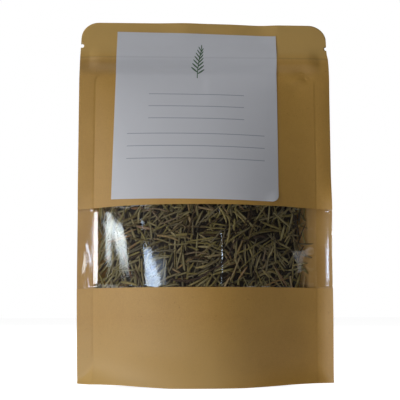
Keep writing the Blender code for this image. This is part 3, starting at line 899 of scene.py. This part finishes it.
def leafCloud(name, laid, material):
    # one mesh of all the leaves, each the template bent along its centre line
    template = leafTemplate()
    shape = np.zeros(len(template.vertices) * 3)
    template.vertices.foreach_get("co", shape)
    shape = shape.reshape(-1, 3)
    joined = bmesh.new()
    for _ in laid:
        joined.from_mesh(template)
    mesh = meshOf(name, joined)
    t = shape[:, 2]
    places, tones, unders = [], [], []
    for leaf in laid:
        stations = np.linspace(0, 1, len(leaf["line"]))
        centre = np.stack([np.interp(t, stations, leaf["line"][:, k]) for k in range(3)], 1)
        ahead = leaf["line"][-1] - leaf["line"][0]
        ahead /= np.linalg.norm(ahead)
        out = leaf["out"] - ahead * leaf["out"].dot(ahead)
        out /= np.linalg.norm(out)
        side = np.cross(out, ahead)
        roll = leaf["roll"]
        wide = side * cos(roll) - out * sin(roll)
        high = out * cos(roll) + side * sin(roll)
        width = leaf["width"] * leafWidthAt(t)
        places.append(centre + wide * (shape[:, :1] * width[:, None]) + high * (
            shape[:, 1:2] * width[:, None] * heap["flatness"]))
        tones.append(np.full(len(shape), leaf["tone"]))
        unders.append((shape[:, 1] < -0.2).astype(float))
    mesh.vertices.foreach_set("co", np.concatenate(places).ravel())
    for attribute, values in (("leafTone", tones), ("leafUnder", unders)):
        layer = mesh.attributes.new(attribute, "FLOAT", "POINT")
        layer.data.foreach_set("value", np.concatenate(values))
    mesh.update()
    mesh.shade_smooth()
    mesh.materials.append(material)
    piece = newObject(name, mesh)
    dress(piece, ["rosemary_leaves"], "dried_leaf")
    print(name, len(laid), "leaves,", len(mesh.polygons), "faces")


def windowLeaves(pile, draw):
    # the right end of the heap thins out, so the paper behind it shows
    laid, tries = [], 0
    while len(laid) < heap["windowLeaves"] and tries < heap["windowLeaves"] * 14:
        tries += 1
        x = draw.uniform(*heap["across"])
        z = draw.uniform(windowBottom - heap["pastWindow"], windowTop + heap["pastWindow"])
        thin = smoothstep(*heap["thinRight"], x + 0.004 * noise.noise(Vector((0, 0, z * 90))))
        thin = max(thin, 0.75 * smoothstep(*heap["thinLeft"], x))
        if draw.random() < thin:
            continue
        length = draw.uniform(*heap["lengths"]) * (0.7 if draw.random() < 0.25 else 1.0)
        width = draw.uniform(*heap["widths"])
        turn = draw.gauss(*heap["turn"])
        bend = draw.gauss(0, heap["bend"])
        found = layLeaf(pile, x, z, turn, length, width, bend)
        if found is None:
            continue
        line, level = found
        wall = np.array([cavityFront(px, pz) for px, pz in line])
        slope = (bulge(x + 0.001, z) - bulge(x - 0.001, z)) / 0.002
        laid.append({
            "line": np.stack([line[:, 0], wall + level, line[:, 1]], 1),
            "out": np.array((-slope, -1.0, 0.0)) / hypot(slope, 1),
            "roll": draw.choice((0.0, pi)) + draw.gauss(0, heap["roll"]),
            "width": width,
            "tone": draw.random(),
        })
    return laid


def hiddenLeaves(draw):
    # leaves over the rest of the heap, where the paper hides them
    laid = []
    while len(laid) < heap["hiddenLeaves"]:
        x, z = draw.uniform(*heap["hiddenAcross"]), draw.uniform(heap["hiddenFoot"], heap["top"] - 0.008)
        back = draw.random() < heap["hiddenBack"]
        if not back and windowBottom - 0.004 < z < windowTop + 0.004 or z < seam(x) + 0.008:
            continue
        turn, length = draw.uniform(0, pi), draw.uniform(*heap["lengths"])
        t = np.linspace(-0.5, 0.5, 15)[:, None]
        line = np.array((x, 0.0, z)) + t * length * np.array((cos(turn), 0.0, sin(turn)))
        for spot in line:
            spot[1] = cavityBack(spot[0], spot[2]) - 0.0022 if back else cavityFront(spot[0], spot[2]) + 0.003
        if np.abs(line[:, 0]).max() > 0.064 or line[:, 2].min() < seam(line[:, 0].max()) + 0.006:
            continue
        laid.append({"line": line, "out": np.array((0.0, 1.0 if back else -1.0, 0.0)), "roll": 0.0,
                     "width": draw.uniform(*heap["widths"]), "tone": draw.random()})
    return laid


leafMaterial = leafPaint()
draw = random.Random(heap["seed"])
pile = Pile()

# stems among the leaves: points in X and Z, a depth behind the film, and a radius
twigs = {
    "twigsBrown": {
        "tones": ((0.05, 0.028, 0.018), (0.13, 0.08, 0.05)),
        "stems": (
            (((-0.013, 0.0626), (-0.004, 0.0664), (0.0025, 0.0705), (0.0085, 0.0735), (0.013, 0.0784),
              (0.0152, 0.0846), (0.0184, 0.0889), (0.0252, 0.0884)), 0.0011, 0.00055),
            (((-0.022, 0.0652), (-0.0165, 0.064), (-0.0085, 0.065), (0.0, 0.0676)), 0.001, 0.0006),
            (((0.029, 0.0905), (0.033, 0.0915), (0.037, 0.0905)), 0.0012, 0.0011),
            (((-0.056, 0.064), (-0.05, 0.067), (-0.044, 0.0672)), 0.0011, 0.0005),
        ),
    },
    "twigsTan": {
        "tones": ((0.2, 0.13, 0.07), (0.38, 0.29, 0.18)),
        "stems": (
            (((-0.0388, 0.1065), (-0.0345, 0.1078), (-0.0296, 0.108), (-0.0237, 0.1062)), 0.0009, 0.0006),
            (((-0.033, 0.1066), (-0.0302, 0.103), (-0.0272, 0.0985)), 0.0012, 0.0005),
            (((-0.0279, 0.0985), (-0.0223, 0.1007), (-0.015, 0.1036)), 0.0009, 0.00055),
            (((0.0348, 0.0762), (0.0368, 0.0841)), 0.001, 0.0006),
            (((-0.013, 0.08), (-0.006, 0.0812), (0.001, 0.08)), 0.001, 0.0005),
        ),
    },
}


def reserve(stems):
    # keeps the leaves from hiding the stems
    for points, depth, radius in stems:
        for (x0, z0), (x1, z1) in zip(points, points[1:]):
            share = np.linspace(0.0, 1.0, 12)[:, None]
            pile.keepFree(np.array((x0, z0)) * (1 - share) + np.array((x1, z1)) * share, radius * 0.7, depth + radius)


def buildTwigs(name, kind):
    curve = bpy.data.curves.new(name, "CURVE")
    curve.dimensions = "3D"
    curve.bevel_depth = 1.0
    curve.bevel_resolution = 2
    curve.resolution_u = 6
    curve.use_fill_caps = True
    for points, depth, radius in kind["stems"]:
        spline = curve.splines.new("BEZIER")
        spline.bezier_points.add(len(points) - 1)
        for k, (knot, (x, z)) in enumerate(zip(spline.bezier_points, points)):
            knot.co = (x, cavityFront(x, z) + depth + 0.0001 * (k % 2), z)
            knot.handle_left_type = knot.handle_right_type = "AUTO"
            knot.radius = radius * (1.0 - 0.35 * k / max(1, len(points) - 1) + 0.12 * (k % 2))
    holder = newObject(name, curve)
    mesh = finished(holder)
    bpy.data.objects.remove(holder)
    surface = bmesh.new()
    surface.from_mesh(mesh)
    bmesh.ops.remove_doubles(surface, verts=surface.verts[:], dist=0.00001)
    piece = asObject(name, surface, twigPaint(name + "Bark", *kind["tones"]), 60)
    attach(piece, "root")


for kind in twigs.values():
    reserve(kind["stems"])
laid = windowLeaves(pile, draw)
for name, kind in twigs.items():
    buildTwigs(name, kind)
coreBody = asObject("leafCore", heapCore(), leafMaterial, 80)
# the core takes leaf tone 0, the darkest: painted shade in the gaps among the leaves
for attribute in ("leafTone", "leafUnder"):
    layer = coreBody.data.attributes.new(attribute, "FLOAT", "POINT")
    layer.data.foreach_set("value", np.zeros(len(coreBody.data.vertices)))
dress(coreBody, ["rosemary_leaves"], "dried_leaf")
leafCloud("rosemaryLeaves", laid, leafMaterial)
leafCloud("rosemaryLeavesHidden", hiddenLeaves(draw), leafMaterial)

# Camera at the photograph's place: its frame is 400 pixels wide, and its lens spans 903 pixels
camera = {"place": (-0.0283, -0.5635, 0.0496), "yaw": -2.54, "pitch": 6.63, "roll": 0.13, "focalPixels": 903.0,
          "framePixels": 400.0, "sensor": 36.0}
cameraData = bpy.data.cameras.new("camera")
cameraData.sensor_width = camera["sensor"]
cameraData.lens = camera["sensor"] * camera["focalPixels"] / camera["framePixels"]
cameraData.clip_start = 0.01
cameraBody = newObject("camera", cameraData)
turned = (Matrix.Rotation(radians(camera["yaw"]), 4, "Z") @ Matrix.Rotation(radians(camera["pitch"]), 4, "X")
          @ Matrix.Rotation(radians(camera["roll"]), 4, "Y") @ Matrix.Rotation(radians(90), 4, "X"))
cameraBody.matrix_world = Matrix.Translation(camera["place"]) @ turned
bpy.context.scene.camera = cameraBody

# Lights, most of them windows on the left that the film mirrors: azimuth and elevation in degrees round the
# aim, distance from it, width, height and radiance
aim = Vector((0.0, 0.0, 0.09))
white = (1.0, 1.0, 1.0)
lightGroups = (
    {"colour": (0.9, 1.0, 1.03), "mirrored": True, "lamps": {
        "archTop": (-51.3, 7.3, 1.3, 0.196, 0.05, 12.0),
        "archPeak": (-53.6, 8.9, 1.3, 0.044, 0.02, 9.0),
        "archLeft": (-56.4, 4.7, 1.3, 0.066, 0.112, 9.5),
        "archFill": (-53.7, 5.5, 1.3, 0.07, 0.036, 9.5),
        "archRight": (-49.4, 4.9, 1.3, 0.136, 0.072, 11.0),
        "archFoot": (-48.2, 2.8, 1.3, 0.098, 0.032, 8.0),
    }},
    {"colour": (0.8, 1.0, 1.28), "mirrored": True, "lamps": {
        "blueWindow": (-35.1, 4.5, 1.3, 0.098, 0.034, 9.0),
        "blueMiddle": (-33.9, 3.3, 1.3, 0.152, 0.03, 9.5),
        "blueFoot": (-32.7, 2.0, 1.3, 0.196, 0.036, 9.5),
        "blueGlint": (-37.2, 10.6, 1.3, 0.022, 0.016, 9.0),
        "blueGlow": (-28.5, 2.6, 1.3, 0.21, 0.095, 1.6),
    }},
    {"colour": white, "mirrored": True, "lamps": {
        "sideWindow": (-71, 4.0, 1.3, 0.13, 0.22, 14.5),
        "paleWall": (-42, 18, 1.3, 0.45, 0.16, 2.3),
        "frontVeil": (-32, 10, 1.4, 0.9, 0.6, 0.05),
    }},
    {"colour": white, "mirrored": False, "lamps": {
        "backWindow": (165, 35, 1.3, 0.8, 0.8, 2.4),
        "overhead": (-30, 80, 1.2, 0.9, 0.9, 0.2),
        "highLeft": (-62, 52, 1.3, 0.6, 0.6, 3.4),
        "highFront": (-12, 62, 1.3, 0.5, 0.5, 0.5),
    }},
)
# low strips just above the floor: their place, width, height and radiance
lowLamps = {
    "lowFront": ((-0.31, -0.22, 0.018), 0.3, 0.036, 1.4),
    "lowCard": ((-0.12, -0.2, 0.006), 0.2, 0.012, 7.2),
    "lowRight": ((0.6, -0.52, 0.03), 0.16, 0.052, 1.0),
}


def addLamp(name, place, facing, size, radiance, colour, mirrored):
    lamp = bpy.data.lights.new(name, "AREA")
    lamp.shape = "RECTANGLE"
    lamp.size, lamp.size_y = size
    lamp.energy = radiance * pi * size[0] * size[1]
    lamp.color = colour
    holder = newObject(name, lamp)
    holder.location = place
    holder.rotation_mode = "QUATERNION"
    holder.rotation_quaternion = facing.to_track_quat("Z", "Y")
    holder.visible_glossy = mirrored
    holder.visible_camera = False


for group in lightGroups:
    for name, (azimuth, elevation, away, wide, high, radiance) in group["lamps"].items():
        around, up = radians(azimuth), radians(elevation)
        back = Vector((sin(around) * cos(up), -cos(around) * cos(up), sin(up)))
        addLamp(name, aim + back * away, back, (wide, high), radiance, group["colour"], group["mirrored"])
for name, (where, wide, high, radiance) in lowLamps.items():
    place = Vector(where)
    addLamp(name, place, place - Vector((0, 0, 0.03)), (wide, high), radiance, white, True)

# A plain pale floor, and a white surround that lights the pouch only a little
stage = {"floorHalf": 3.0, "floorDrop": 0.0002, "floorTones": ((0.84, 0.84, 0.84), (0.88, 0.88, 0.88)),
         "floorGlow": (0.95, 0.95, 0.95), "surroundLight": 0.015}
floorMesh = bmesh.new()
bmesh.ops.create_grid(floorMesh, x_segments=1, y_segments=1, size=stage["floorHalf"])
floorPaint = Paint("paleFloor", Roughness=0.9, Specular_IOR_Level=0.1, Emission_Strength=1.0)
floorPaint.connect("Base Color", floorPaint.blend(floorPaint.noise(floorPaint.where(), 3.0), *stage["floorTones"]))
seenDirectly = floorPaint.node("ShaderNodeLightPath", {}, {}, "Is Camera Ray")
floorPaint.connect("Emission Color", floorPaint.blend(seenDirectly, (0.0, 0.0, 0.0), stage["floorGlow"]))
floor = newObject("floor", meshOf("floor", floorMesh))
floor.data.materials.append(floorPaint.material)
floor.location = (0, 0, -stage["floorDrop"])

world = bpy.data.worlds.new("studio")
world.use_nodes = True
bpy.context.scene.world = world
nodes, links = world.node_tree.nodes, world.node_tree.links
background = nodes["Background"]
seen = nodes.new("ShaderNodeLightPath")
strength = nodes.new("ShaderNodeMapRange")
strength.inputs["To Min"].default_value = stage["surroundLight"]
strength.inputs["To Max"].default_value = 1.0
links.new(seen.outputs["Is Camera Ray"], strength.inputs["Value"])
links.new(strength.outputs["Result"], background.inputs["Strength"])
background.inputs["Color"].default_value = (1.0, 1.0, 1.0, 1.0)
bpy.context.scene.view_settings.view_transform = "Standard"
print("stage, lights and camera set")
